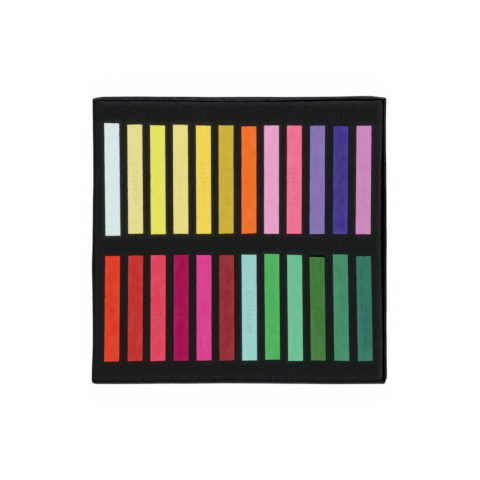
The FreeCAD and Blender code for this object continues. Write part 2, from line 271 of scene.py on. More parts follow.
def blank_sheet():
    """The base with the front and back walls and their rolled flaps, in one sheet.

    The folded strip in the YZ plane is carried along X, and its reach to either side is that
    of the flaps, of the outer walls or of the base."""
    outer = HALF_WIDTH - BOARD / 2
    inner = outer - 2 * (BOARD + LAYER_GAP)
    top = RIM - BOARD / 2
    low = BOARD / 2
    half = [(inner, BOARD + INNER_RISE), (inner, top), (outer, top), (outer, low)]
    strip, fold = folded_strip([(-y, z) for y, z in half] + half[::-1], [CREASE] * 6)
    y, z = strip.T
    flap = HALF_LENGTH - np.where(y < 0, FLAP_INSETS["front"], FLAP_INSETS["back"])
    on_outer = abs(y) > outer - 0.01
    shoulder = smooth((z - RIM + SIDE_DROP + 0.15) / 0.3)
    reach = np.where(on_outer, HALF_LENGTH + (flap - HALF_LENGTH) * shoulder, flap)
    reach = np.where((z < CREASE + low) & ~on_outer, HALF_LENGTH - BASE_INSET, reach)
    x = reach[:, None] * stations(HALF_LENGTH)
    middle = np.stack([x, *(np.broadcast_to(line[:, None], x.shape) for line in (y, z))], -1)
    # At the front only the outer fold is paler: rubbing and a painted highlight where it faces the front
    # lamp.
    on_outer_fold = smooth((-y - outer + 0.8) / 0.4)[:, None]
    share = x / HALF_LENGTH
    front_rub_and_highlight, back_rub_and_highlight = (along_side(RIM_RUB_AND_HIGHLIGHT[wall], share) for wall in ("front", "back"))
    rub_and_highlight = np.where(y[:, None] > 0, back_rub_and_highlight, front_rub_and_highlight * on_outer_fold)
    return *card_sheet(middle), on_both_faces(fold[:, None] * rub_and_highlight)


def side_wall(side):
    """A side wall, doubled: the folded strip in the XZ plane, carried along Y between the
    outer layers of the front and back walls."""
    outer = HALF_LENGTH - BOARD / 2
    inner = outer - 2 * TOP_FOLD
    top = RIM - SIDE_DROP - BOARD / 2
    low = BOARD / 2
    corners = [
        (outer - SIDE_FOOT, low), (outer, low), (outer, top), (inner, top), (inner, BOARD + INNER_RISE),
    ]
    strip, fold = folded_strip(corners, [CREASE, TOP_FOLD - 0.001, TOP_FOLD - 0.001])
    y = stations(HALF_WIDTH) * (HALF_WIDTH - BOARD - SIDE_EASE)
    shape = (len(strip), len(y))
    x, z = (np.broadcast_to(line[:, None], shape) for line in (side * strip[:, 0], strip[:, 1]))
    middle = np.stack([x, np.broadcast_to(y, shape), z], -1)[:, ::side]
    # How pale the folds are: rubbing and painted highlight.
    rub_and_highlight = along_side(RIM_RUB_AND_HIGHLIGHT["right" if side > 0 else "left"], middle[..., 1] / HALF_WIDTH)
    return *card_sheet(middle), on_both_faces(fold[:, None] * rub_and_highlight)


def corner_tab(side, end):
    """The tab of a side wall, which stands inside the rolled wall: a flat upright sheet."""
    start = HALF_LENGTH - 2 * BOARD - LAYER_GAP - TAB_EASE
    x = side * np.linspace(start, start - TAB_LENGTH, 60)
    z = np.linspace(BOARD + TAB_RISE, RIM - SIDE_DROP - TAB_DROP, 9)
    y = end * (HALF_WIDTH - BOARD - LAYER_GAP - BOARD / 2)
    x, z = np.meshgrid(x, z)
    middle = np.stack([x, np.full_like(x, y), z], -1)[:, :: side * end]
    return *card_sheet(middle), np.zeros(2 * x.size)


class Tint:
    """One socket of a material's nodes.  Sums and products of values add Math nodes."""

    def __init__(self, tree, socket):
        self.tree = tree
        self.socket = socket

    def node(self, kind, settings=(), sockets=(), output=0):
        """Adds a node: its settings first, then the values of its sockets, or links to them."""
        made = self.tree.nodes.new(kind)
        for name, value in dict(settings).items():
            setattr(made, name, value)
        for name, value in dict(sockets).items():
            if isinstance(value, Tint):
                self.tree.links.new(value.socket, made.inputs[name])
            else:
                made.inputs[name].default_value = value
        return Tint(self.tree, made.outputs[output])

    def sum_of(self, operation, first, second):
        return self.node("ShaderNodeMath", {"operation": operation}, {0: first, 1: second})

    def __add__(self, other):
        return self.sum_of("ADD", self, other)

    def __sub__(self, other):
        return self.sum_of("SUBTRACT", self, other)

    def __mul__(self, other):
        return self.sum_of("MULTIPLY", self, other)

    __radd__ = __add__
    __rmul__ = __mul__

    def between(self, low, high):
        """0 where the value is below low, 1 where it is above high, and a smooth step between."""
        settings = {"interpolation_type": "SMOOTHSTEP"}
        return self.node("ShaderNodeMapRange", settings, {"Value": self, "From Min": low, "From Max": high})

    def mix(self, first, second):
        """From the first colour to the second as this value goes from 0 to 1."""
        settings = {"data_type": "RGBA", "clamp_factor": True}
        return self.node("ShaderNodeMix", settings, {0: self, 6: first, 7: second}, output=2)


def colour(red, green, blue):
    """A colour written as a screen shows it, from 0 to 255, as the linear one of a shader."""
    share = np.array([red, green, blue]) / 255
    linear = np.where(share > 0.04045, ((share + 0.055) / 1.055) ** 2.4, share / 12.92)
    return (*linear.tolist(), 1.0)


class Finish:
    """A material with one Principled shader, and the ways to read a place on the piece."""

    def __init__(self, name, roughness, specular):
        self.material = bpy.data.materials.new(name)
        self.material.use_nodes = True
        tree = self.material.node_tree
        self.shader = tree.nodes["Principled BSDF"]
        self.shader.inputs["Roughness"].default_value = roughness
        self.shader.inputs["Specular IOR Level"].default_value = specular
        coordinates = tree.nodes.new("ShaderNodeTexCoord")
        self.start = Tint(tree, coordinates.outputs["Object"])

    def place(self, stretch=(1, 1, 1)):
        """The place on the piece in millimetres, each axis times its stretch."""
        scale = tuple(1000 * share for share in stretch)
        sockets = {0: self.start, 1: scale}
        return self.start.node("ShaderNodeVectorMath", {"operation": "MULTIPLY"}, sockets)

    def grain(self, size, detail=2.0, stretch=(1, 1, 1), rough=0.5):
        """Cloudy noise, 0 to 1 about a half, with spots of about the given size."""
        sockets = {"Vector": self.place(stretch), "Scale": 1 / size, "Detail": detail, "Roughness": rough}
        return self.start.node("ShaderNodeTexNoise", (), sockets)

    def cells(self, size):
        """The distance to the middle of the nearest cell, for cells of the given size."""
        sockets = {"Vector": self.place(), "Scale": 1 / size}
        return self.start.node("ShaderNodeTexVoronoi", (), sockets)

    def mark(self, name, output="Fac"):
        """A value or colour that the piece's points carry."""
        return self.start.node("ShaderNodeAttribute", {"attribute_name": name}, (), output)

    def set(self, **looks):
        """Links the shader's sockets, named in lower case."""
        for name, tint in looks.items():
            self.start.tree.links.new(tint.socket, self.shader.inputs[name.replace("_", " ").title()])

    def relief(self, height, depth):
        """A bump of the given depth in millimetres where the height goes from 0 to 1."""
        sockets = {"Height": height, "Distance": depth / 1000, "Strength": 1.0}
        self.set(normal=self.start.node("ShaderNodeBump", (), sockets))


def black_card():
    """Matt black card: faint fibres, paler along its folds, partly rubbed and partly a painted highlight,
    and grey where it is cut.
    """
    finish = Finish("black_card", roughness=0.6, specular=0.06)
    fibres = finish.grain(0.35, detail=4, stretch=(1, 0.35, 1), rough=0.7)
    clouds = finish.grain(14, detail=3)
    specks = finish.grain(0.8, detail=2).between(0.64, 0.74)
    rubbed = finish.grain(2.4, detail=4, rough=0.65).between(0.34, 0.68)
    # Paler folds: the black rubbed off, and a painted highlight where they catch the lamps.
    rubbed_and_highlit = finish.mark("fold") * (0.2 + 0.5 * rubbed)
    paper = (fibres.between(0.3, 0.8) * 0.45 + specks * 0.2).mix(colour(*CARD_BLACK), colour(*CARD_FIBRE))
    core = (finish.mark("cut") * (0.55 + 0.4 * rubbed)).mix(paper, colour(*CARD_CORE))
    finish.set(
        base_color=rubbed_and_highlit.mix(core, colour(*CARD_RUBBED_AND_HIGHLIT)),
        roughness=0.5 + 0.22 * clouds + 0.1 * fibres - 0.12 * rubbed_and_highlit,
    )
    finish.relief(fibres * 0.6 + finish.grain(3.5, detail=2) * 0.9, 0.05)
    return finish.material


def make_piece(name, points, faces, marks, material, body):
    """A named object with its material, riding on its body.

    Each mark is a number or a colour for each point, or a number for each face, which the
    material reads."""
    mesh = bpy.data.meshes.new(name)
    mesh.from_pydata(points / 1000, [], [face for group in faces for face in group.tolist()])
    for mark, values in marks.items():
        kind, field = ("FLOAT", "value") if values.ndim == 1 else ("FLOAT_COLOR", "color")
        where = "POINT" if len(values) == len(points) else "FACE"
        made = mesh.attributes.new(mark, kind, where)
        made.data.foreach_set(field, values.astype(np.float32).ravel())
    mesh.polygons.foreach_set("use_smooth", np.ones(len(mesh.polygons), bool))
    mesh.set_sharp_from_angle(angle=math.radians(SHARP_ANGLE))
    mesh.materials.append(material)
    piece = bpy.data.objects.new(name, mesh)
    bpy.context.scene.collection.objects.link(piece)
    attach(piece, body)
    return piece


tabs = [corner_tab(side, end) for side in (-1, 1) for end in (-1, 1)]
points, quads, cuts, folds = joined([blank_sheet(), side_wall(-1), side_wall(1), *tabs])
marks = {"fold": folds, "cut": cuts}
folded_tray = make_piece(
    "folded_tray", handled(points), [quads], marks, black_card(), "tray"
)
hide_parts("tray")


# ---------------------------------------------------------------------------------------------
# The foam insert.  Two layers of black closed-cell foam lie in the tray: a plain one, and on
# it one that is die-cut with two rows of slots, whose edges are pressed round by the knife.
# ---------------------------------------------------------------------------------------------
BACK_NAMES = (
    "ice_blue", "cream_yellow", "lemon_yellow", "pale_yellow", "golden_yellow", "ochre",
    "orange", "pale_pink", "rose_pink", "lavender", "violet", "orchid",
)
FRONT_NAMES = (
    "vermilion", "red", "coral_red", "crimson", "magenta", "maroon",
    "mint", "leaf_green", "sea_green", "moss_green", "viridian", "teal",
)
FRONT_TURNS = (-0.45, 0.98)  # degrees, first and last stick; positive leans the back end left
BACK_TURNS = (0.62, -0.47)
SIDE_CLEARANCE = 0.12
END_CLEARANCE = 0.15
LEAST_SLOTS = {"front": 63.4, "back": 65.0}
LIP = 0.25  # radius of the slots' pressed edges
OUTLINE_LIPS = {"foam_backing": 0.2, "foam_slotted": 0.3}  # the same round each layer
FOAM_CORNER = 1.8
SWAY_BAND = (4.5, 8)  # how far in from the sides, and from the ends, the foam's edges sway
EDGE_WAVE = 0.06
LIP_STEPS = (0, 0.04, 0.12, 0.24, 0.42, 0.8)  # lines of the foam's grid, from a rounded edge
ROW_SPACING = 2.0  # of its lines elsewhere
COLUMN_SPACING = 1.4

FOAM_GREY = (50, 52, 53)
FOAM_DARKER = (18, 19, 18)
FOAM_DUSTY = (70, 74, 72)
FOAM_TINTS = ((7, 12, 9), (13, 12, 16))
EDGE_BAND = 3  # of the foam's margin, which is rubbed less at the left and the front; at the front part of its paleness is painted light
LEFT_RUB = 0.25
FRONT_RUB_AND_LIGHT = 0.45
LOWER_RUB = 0.15  # the share of a layer's rubbing that reaches its bottom

foam_low, foam_high = extent("foam_slotted")
ROWS = {"front": (FRONT_NAMES, FRONT_TURNS), "back": (BACK_NAMES, BACK_TURNS)}
STICK = extent("stick_red")[1][2] - foam_low[2]  # side of a stick's square section
SLOT_WIDTH = STICK + 2 * SIDE_CLEARANCE


def turned(place, angle):
    """A place, or several, turned about the origin by an angle in degrees."""
    c, s = math.cos(math.radians(angle)), math.sin(math.radians(angle))
    return place @ np.array([[c, s], [-s, c]])


def stick_length(name, angle):
    """A stick's length, from the depth of the box that it fills when it is turned."""
    low, high = extent(f"stick_{name}")
    slant = STICK * math.sin(math.radians(abs(angle)))
    return (high[1] - low[1] - slant) / math.cos(math.radians(angle))


def slot_table():
    """Each slot: its stick's name, its middle, length and turn.

    The stick lies by the front end of the slot.  The turn changes evenly along a row."""
    for row, (names, (first, last)) in ROWS.items():
        for column, name in enumerate(names):
            angle = first + (last - first) * column / (len(names) - 1)
            low, high = extent(f"stick_{name}")
            own = stick_length(name, angle)
            length = max(LEAST_SLOTS[row], own + 2 * END_CLEARANCE)
            back = np.array([0, (length - own) / 2 - END_CLEARANCE])
            yield row, name, ((low + high) / 2)[:2] + turned(back, angle), length, angle


slots = list(slot_table())


def slot_net():
    """The corners of all slots and the foam's outline, as a net of 6 by 26 points."""
    net = np.zeros((6, 2 * len(FRONT_NAMES) + 2, 2))
    for number, (row, _, middle, length, angle) in enumerate(slots):
        column = 1 + 2 * (number % len(FRONT_NAMES))
        first = {"front": 1, "back": 3}[row]
        for across in (0, 1):
            for along in (0, 1):
                corner = np.array([(across - 0.5) * SLOT_WIDTH, (along - 0.5) * length])
                net[first + along, column + across] = middle + turned(corner, angle)
    net[0], net[5] = net[1], net[4]
    net[0, :, 1], net[5, :, 1] = foam_low[1], foam_high[1]
    net[:, 0, 1], net[:, -1, 1] = net[:, 1, 1], net[:, -2, 1]
    net[:, 0, 0], net[:, -1, 0] = foam_low[0], foam_high[0]
    return net


def shares(width, gap, soft):
    """Places across a width as shares of it, every gap or so, and closer by a soft edge."""
    edge = np.array(LIP_STEPS) if soft else np.zeros(1)
    count = max(1, round((width - 2 * edge[-1]) / gap))
    middle = np.linspace(edge[-1], width - edge[-1], count + 1)[1:-1]
    return np.concatenate([edge, middle, width - edge[:0:-1]]) / width


def lines(widths, gap, hard):
    """Where each line of the grid lies: the net's line before it and the share to the next.

    The hard spans, which are cut out or lie between two slots' ends, have no soft edges."""
    before, share = [], []
    for number, width in enumerate(widths):
        steps = shares(width, gap, soft=number not in hard)
        before += [number] * len(steps)
        share += steps.tolist()
    return np.array(before + [len(widths) - 1]), np.array(share + [1.0])


def foam_grid():
    """The foam's grid of points in plan, and which of its cells are foam.

    Between the lines of the net a point is the weighted mean of four corners of the net."""
    net = slot_net()
    columns = np.diff(net[1, :, 0])
    rows = np.diff(net[:, 1, 1])
    cut_columns = range(1, len(columns), 2)
    row, down = lines(rows, ROW_SPACING, hard=(1, 3))
    column, across = lines(columns, COLUMN_SPACING, hard=cut_columns)
    row, down = row[:, None], down[:, None, None]
    across = across[None, :, None]
    front = net[row, column] * (1 - across) + net[row, column + 1] * across
    back = net[row + 1, column] * (1 - across) + net[row + 1, column + 1] * across
    cut_rows = (row[:-1] == 1) | (row[:-1] == 3)
    cut = cut_rows & np.isin(column[:-1], cut_columns)
    return front * (1 - down) + back * down, ~cut


def slot_distance(plan):
    """The distance to the nearest slot, and that slot's number, for each point in plan.

    In the slot's own axes it is the distance to a rectangle."""
    distances = []
    for _, _, middle, length, angle in slots:
        own = abs(turned(plan - middle, -angle)) - (SLOT_WIDTH / 2, length / 2)
        distances.append(np.hypot(*np.moveaxis(np.maximum(own, 0), -1, 0)))
    return np.min(distances, axis=0), np.argmin(distances, axis=0)


def round_over(distance, radius):
    """How far an edge rounded to the radius lies below its flat, at a distance from it."""
    inward = radius - np.clip(distance, 0, radius)
    return radius - np.sqrt(radius**2 - inward**2)


def foam_at(height):
    """The grid's plan at a height, with the foam's real outline.

    In proportion to the height, as the walls lean, its edges stand out or draw in and wave,
    and the back one fills the room beyond the ends of its flap.  At the corners a square
    round the corner's centre becomes a circle."""
    low, high = foam_low[:2], foam_high[:2]
    inside = np.minimum(grid - low, high - grid)
    weight = height / foam_high[2] * (1 - smooth(inside / SWAY_BAND))
    level = np.concatenate([grid, np.zeros(grid.shape[:2] + (1,))], -1)
    sway = EDGE_WAVE * np.stack([waves(level, 30, seed=11), waves(level, 38, seed=12)], -1)
    across, along = np.moveaxis(grid / (HALF_LENGTH, HALF_WIDTH), -1, 0)
    left, right = (along_side(FOAM_EDGES[edge], along) for edge in ("left", "right"))
    front, back = (along_side(FOAM_EDGES[edge], across) for edge in ("front", "back"))
    back += 0.4 * smooth((abs(grid[..., 0]) - HALF_LENGTH + FLAP_INSETS["back"] + 0.4) / 1.5)
    sway[..., 0] += np.where(across > 0, right, -left)
    sway[..., 1] += np.where(along > 0, back, -front)
    centre = (low + high) / 2
    side = np.sign(grid - centre)
    corner = np.maximum(abs(grid - centre) - (high - low) / 2 + FOAM_CORNER, 0)
    both = (corner > 0).all(-1, keepdims=True)
    size = np.maximum(np.linalg.norm(corner, axis=-1, keepdims=True), 1e-9)
    pull = np.where(both, corner.max(-1, keepdims=True) / size - 1, 0)
    return grid + side * corner * pull + weight * sway


def die_cut(upper, lower, solid):
    """A slab between two grids of points, without the cells that are cut out.

    Quads cover the top and the bottom, and an upright quad stands wherever a solid cell
    meets one that isn't."""
    rows, columns = upper.shape[:2]
    count = rows * columns
    points = np.concatenate([upper.reshape(-1, 3), lower.reshape(-1, 3)])
    cells = grid_quads(rows, columns)[solid.ravel()]
    around = np.pad(solid, 1)
    number = np.arange(count).reshape(rows, columns)
    borders = (
        (around[1:, 1:-1], around[:-1, 1:-1], number[:, 1:], number[:, :-1]),
        (around[1:-1, 1:], around[1:-1, :-1], number[:-1], number[1:]),
    )
    upright = []
    for here, there, start, end in borders:
        for edge, a, b in ((here & ~there, start, end), (there & ~here, end, start)):
            upright.append(np.stack([a[edge], b[edge], b[edge] + count, a[edge] + count], -1))
    quads = np.concatenate([cells, cells[:, ::-1] + count, *upright])
    used, quads = np.unique(quads, return_inverse=True)
    return points[used], quads.reshape(-1, 4), used


def black_foam():
    """Black foam: a mottle of fine cells, paler along its edges, at the front partly as painted light,
    darker towards the front and the left, and dusted with chalk in the slots."""
    finish = Finish("black_foam", roughness=0.92, specular=0.06)
    pores = finish.cells(0.42)
    mottle = finish.grain(0.9, detail=5, rough=0.78).between(0.4, 0.62)
    green, violet = (colour(*shade) for shade in FOAM_TINTS)
    tint = finish.grain(14, detail=3).between(0.42, 0.58).mix(green, violet)
    foam = (0.38 * mottle).mix(tint, colour(*FOAM_GREY))
    # Darker towards the front and the left.
    foam = (finish.mark("darker_front_left") * 0.4).mix(foam, colour(*FOAM_DARKER))
    dusty = finish.mark("rubbed") * (0.35 + 0.65 * finish.grain(2.2, detail=3).between(0.3, 0.7))
    foam = (0.47 * dusty).mix(foam, colour(*FOAM_DUSTY))
    cloud = 0.35 + 0.9 * finish.grain(0.7, detail=4, rough=0.7).between(0.4, 0.66)
    dusted = (finish.mark("dust") * cloud).mix(foam, finish.mark("chalk", "Color"))
    finish.set(base_color=dusted, roughness=0.86 + 0.1 * mottle)
    finish.relief(pores * 0.8 + mottle * 0.5, 0.06)
    return finish.material


# The colours of the sticks, which dust their slots with the same chalk.
CHALKS = {
    "ice_blue": (217, 232, 232),
    "cream_yellow": (228, 220, 143),
    "lemon_yellow": (228, 227, 94),
    "pale_yellow": (230, 221, 132),
    "golden_yellow": (239, 212, 82),
    "ochre": (203, 174, 58),
    "orange": (240, 110, 38),
    "pale_pink": (231, 159, 199),
    "rose_pink": (238, 111, 146),
    "lavender": (132, 114, 178),
    "violet": (67, 52, 138),
    "orchid": (205, 135, 188),
    "vermilion": (221, 59, 36),
    "red": (195, 47, 48),
    "coral_red": (222, 68, 92),
    "crimson": (165, 12, 79),
    "magenta": (218, 64, 144),
    "maroon": (145, 44, 50),
    "mint": (150, 209, 198),
    "leaf_green": (74, 176, 92),
    "sea_green": (106, 190, 148),
    "moss_green": (58, 116, 53),
    "viridian": (61, 136, 99),
    "teal": (42, 110, 95),
}


def foam_layer(node, solid, dust):
    """One layer of the insert from the grid that both share.

    The rounded outline, and the slots of the upper layer, lower the top by a round-over.  The
    dust, first on the top and then on the bottom, is that of the nearest slot's stick.  The
    sides are less rubbed towards the bottom."""
    low, high = extent(node)
    level = np.full(grid.shape[:2], high[2])
    outline = round_over(from_edge, OUTLINE_LIPS[node])
    top = level - outline
    if not solid.all():
        top = np.minimum(top, level - round_over(from_slot, LIP))
    upper = np.dstack([foam_at(high[2]), top])
    lower = np.dstack([foam_at(low[2]), low[2] + outline])
    points, quads, used = die_cut(upper, lower, solid)
    marks = {
        "rubbed": np.concatenate([rubbed.ravel(), LOWER_RUB * rubbed.ravel()]),
        "darker_front_left": on_both_faces(darker_front_left),
        "dust": np.concatenate([face.ravel() for face in dust]),
        "chalk": np.concatenate([chalks[nearest].reshape(-1, 4)] * 2),
    }
    marks = {mark: values[used] for mark, values in marks.items()}
    piece = make_piece(f"{node}_layer", points, [quads], marks, foam, "insert")
    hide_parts(node)


foam = black_foam()
grid, solid_cells = foam_grid()
from_edge = np.minimum(grid - foam_low[:2], foam_high[:2] - grid).min(-1)
from_slot, nearest = slot_distance(grid)
chalks = np.array([colour(*CHALKS[name]) for _, name, _, _, _ in slots])

by_left, by_front = (grid[..., axis] - foam_low[axis] < EDGE_BAND for axis in (0, 1))
# At the front, part of the margin's paleness is painted light that lifts the shade of the front wall.
side_rub = np.where(by_left, LEFT_RUB, np.where(by_front, FRONT_RUB_AND_LIGHT, 1.0))
rubbed = side_rub * np.exp(-from_edge / 1.2) + 0.1 * np.exp(-from_slot / 0.4)
# How much darker the foam is towards the front and the left.
darker_front_left = 0.8 * smooth((12 - grid[..., 1]) / 30) + 0.4 * smooth((-55 - grid[..., 0]) / 30)
under_sticks = 0.5 * (from_slot <= 0)
on_lips, in_slots = 0.05 * np.exp(-from_slot / 0.7), 0.55 * np.exp(-from_slot / 0.2)
foam_layer("foam_backing", np.ones_like(solid_cells), (under_sticks, 0 * under_sticks))
foam_layer("foam_slotted", solid_cells, (on_lips, in_slots))


# ---------------------------------------------------------------------------------------------
# The sticks.  Each is a square bar of soft pastel: pigment and chalk with a little binder,
# pressed in a mould, with crumbling edges and a shallow row of plain digits along its top.
# ---------------------------------------------------------------------------------------------
WORN_RADIUS = 0.42  # of the edges
DIGIT_HEIGHT = 2.5
DIGIT_STEP = 2.6
DIGITS_START = 0.35  # share of the length from the back end to the first digit
DIGIT_COUNT = 10
STROKE = 0.3  # from the middle of a stroke to where the top is level again
NICKS = {"teal": (0.6, 1.0, 1.0)}  # a knock in the back end: place across, radius and depth
CHIP_DEPTH = 0.35
CROOKED_REACH = 5  # how far from an end its crookedness reaches
EDGE_STEPS = (0, 0.08, 0.17, 0.28, 0.42, 0.65)  # places of rings and lines by a worn edge
RING_SPACING = 1.3  # along the stick, and closer where the digits are
DIGIT_SPACING = 0.19
END_SHARES = (0.12, 0.35, 0.62, 0.82, 0.93, 0.98)  # sizes of the rings that fill an end

# How much further back the right edge is than the left one, at the front and the back end.
CROOKED = {
    "ice_blue": (0.1, -0.3), "cream_yellow": (0.1, 0.1), "lemon_yellow": (0.3, -0.3),
    "pale_yellow": (0, -0.3), "golden_yellow": (0, -0.25), "ochre": (0.2, -0.1),
    "orange": (0.3, 0.1), "pale_pink": (0, 0.15), "lavender": (0.15, 0.25), "violet": (0.05, -0.2),
    "orchid": (0.1, 0.1), "vermilion": (0.3, 0.05), "red": (0.3, 0.05), "coral_red": (0.3, 0),
    "crimson": (0.1, 0.1), "maroon": (0.3, 0), "magenta": (0.1, -0.15), "mint": (0, -0.15),
    "leaf_green": (0, -0.3), "sea_green": (0, -0.3), "moss_green": (-0.15, -0.3),
    "viridian": (-0.3, -0.2),
}
# Pale scuffs: place across and along from the stick's middle, size both ways, and strength.
SCUFFS = {
    "moss_green": ((-0.5, -22, 4, 9, 0.8), (-1.5, -12, 2, 2, 0.4)),
    "viridian": (
        (-2, 12, 3, 5, 1.0), (-1.5, 0, 2.5, 3, 0.6), (0, -25, 5, 7, 0.8), (0, 29, 5, 4, 0.5),
    ),
    "teal": ((0.5, -29, 6, 5, 1.3),),
    "orchid": ((2.5, -30, 2.5, 3.5, 1.0),),
    "orange": ((-0.5, -23, 2, 3, 0.5),),
    "pale_pink": ((-0.5, 27, 2.5, 2.5, 0.6),),
    "vermilion": ((-2, -27, 4, 5, 0.5),),
}

# Depth of the digits on each stick.
PRESSED = {
    "ice_blue": 0.04, "lemon_yellow": 0.03, "violet": 0.07, "lavender": 0.06, "orange": 0.09,
    "cream_yellow": 0.17, "rose_pink": 0.17, "coral_red": 0.17, "maroon": 0.17, "mint": 0.16,
    "golden_yellow": 0.14, "pale_pink": 0.04, "pale_yellow": 0.08, "sea_green": 0.05, "teal": 0.08,
}
USUAL_PRESS = 0.1
FULL_SHADE_PRESS = 0.14  # the depth from which a digit's painted shade is at its darkest
# How much lengthwise drag marks show.
STREAKED = {"moss_green": 1.0, "teal": 0.9, "viridian": 0.7, "leaf_green": 0.6, "sea_green": 0.4}
USUAL_STREAK = 0.2
BLOOM = 8.0  # how much paler chalk looks than its pigment, on a screen's scale

# Each digit's strokes in a box one high: straight ones from x, y to x, y, and round ones as
# the centre's x and y, the radius, and the first and last angle in degrees.
STRAIGHT = {
    0: ((0, 0.27, 0, 0.73), (0.5, 0.27, 0.5, 0.73)),
    1: ((0.08, 0.78, 0.3, 1), (0.3, 1, 0.3, 0)),
    2: ((0.46, 0.61, 0, 0), (0, 0, 0.5, 0)),
    4: ((0.38, 0, 0.38, 1), (0.38, 1, 0, 0.3), (0, 0.3, 0.54, 0.3)),
    5: ((0.46, 1, 0.06, 1), (0.06, 1, 0.03, 0.53)),
    7: ((0, 1, 0.5, 1), (0.5, 1, 0.16, 0)),
}
ROUND = {
    0: ((0.25, 0.73, 0.25, 0, 180), (0.25, 0.27, 0.25, 180, 360)),
    2: ((0.25, 0.75, 0.25, -35, 170),),
    3: ((0.24, 0.76, 0.24, -90, 150), (0.24, 0.26, 0.26, -150, 90)),
    5: ((0.22, 0.29, 0.29, -145, 130),),
    6: ((0.25, 0.26, 0.26, 0, 360), (0.57, 0.3, 0.58, 122, 182)),
    8: ((0.25, 0.77, 0.22, 0, 360), (0.25, 0.27, 0.27, 0, 360)),
    9: ((0.25, 0.74, 0.26, 0, 360), (-0.07, 0.7, 0.58, -58, 2)),
}


def stroke_distance(digit, x, y):
    """The distance from each place to the digit's nearest stroke, in the digit's own box."""
    nearest_yet = np.full(x.shape, np.inf)
    for x0, y0, x1, y1 in STRAIGHT.get(digit, ()):
        run = np.array([x1 - x0, y1 - y0])
        share = np.clip(((x - x0) * run[0] + (y - y0) * run[1]) / (run @ run), 0, 1)
        away = np.hypot(x - x0 - share * run[0], y - y0 - share * run[1])
        nearest_yet = np.minimum(nearest_yet, away)
    for middle_x, middle_y, radius, first, last in ROUND.get(digit, ()):
        centre = (first + last) / 2
        bearing = np.degrees(np.arctan2(y - middle_y, x - middle_x))
        off = (bearing - centre + 180) % 360 - 180
        held = np.radians(centre + np.clip(off, first - centre, last - centre))
        away = np.hypot(x - middle_x - radius * np.cos(held), y - middle_y - radius * np.sin(held))
        nearest_yet = np.minimum(nearest_yet, away)
    return nearest_yet


def pressed_digits(across, along):
    """How deep the row of digits is pressed, 0 to 1, at places on the stick's top.

    Across is to the right from the middle, and along is back from the front end of the row;
    the row reads towards the front, so a digit's top is on the right."""
    depth = np.zeros(across.shape)
    for digit in range(DIGIT_COUNT):
        x = (along + digit * DIGIT_STEP) / -DIGIT_HEIGHT
        y = across / DIGIT_HEIGHT + 0.5
        away = stroke_distance(digit, x, y) * DIGIT_HEIGHT
        depth = np.maximum(depth, 1 - smooth(away / STROKE))
    return depth


def edge_steps(half, middle):
    """Places from minus to plus half, close together by both ends, around middle ones."""
    edge = half - np.array(EDGE_STEPS)
    return np.concatenate([-edge, middle, edge[::-1]])


def bar_box(length):
    """Points on a square box, ring by ring along it, each ring from its front right corner.

    The rings cross the top closer together where the digits are, and at both ends shrink to
    a point.  Their two last points, the poles, come after them."""
    half = STICK / 2
    fine = np.arange(-1.7, 1.71, 0.17)
    broad = np.array([-3.1, -2.4])
    top = edge_steps(half, np.concatenate([broad, fine, -broad[::-1]]))
    side = edge_steps(half, np.linspace(-2.8, 2.8, 6))
    ring = np.concatenate(
        [
            np.stack([side[:-1] * 0 + half, side[:-1]], -1),
            np.stack([-top[:-1], top[:-1] * 0 + half], -1),
            np.stack([side[:-1] * 0 - half, -side[:-1]], -1),
            np.stack([side[:-1], side[:-1] * 0 - half], -1),
        ]
    )
    row_end = length * (0.5 - DIGITS_START)
    digits = np.arange(row_end - DIGIT_COUNT * DIGIT_STEP - 0.5, row_end + 0.8, DIGIT_SPACING)
    reach = length / 2 - EDGE_STEPS[-1]
    front = np.linspace(-reach, digits[0], round((digits[0] + reach) / RING_SPACING) + 1)[1:-1]
    back = np.linspace(digits[-1], reach, round((reach - digits[-1]) / RING_SPACING) + 1)[1:-1]
    along = edge_steps(length / 2, np.concatenate([front, digits, back]))
    shrink = np.array(END_SHARES)
    size = np.concatenate([shrink, np.ones(len(along)), shrink[::-1]])
    along = np.concatenate([[-length / 2] * len(shrink), along, [length / 2] * len(shrink)])
    x, z = (size[:, None] * ring[:, axis] for axis in (0, 1))
    rings = np.stack([x, np.broadcast_to(along[:, None], x.shape), z], -1)
    poles = np.array([[0, -length / 2, 0], [0, length / 2, 0]])
    return np.concatenate([rings.reshape(-1, 3), poles]), rings.shape[:2]


def ring_faces(rows, around):
    """The quads between the rings, and the fans of triangles that close both ends."""
    place = np.arange(around)
    onward = (place + 1) % around
    first = np.arange(rows - 1)[:, None] * around
    quads = np.stack(
        [first + place, first + around + place, first + around + onward, first + onward], -1
    ).reshape(-1, 4)
    last = (rows - 1) * around
    pole = rows * around
    front = np.stack([np.full(around, pole), place, onward], -1)
    back = np.stack([np.full(around, pole + 1), last + onward, last + place], -1)
    return quads, front, back


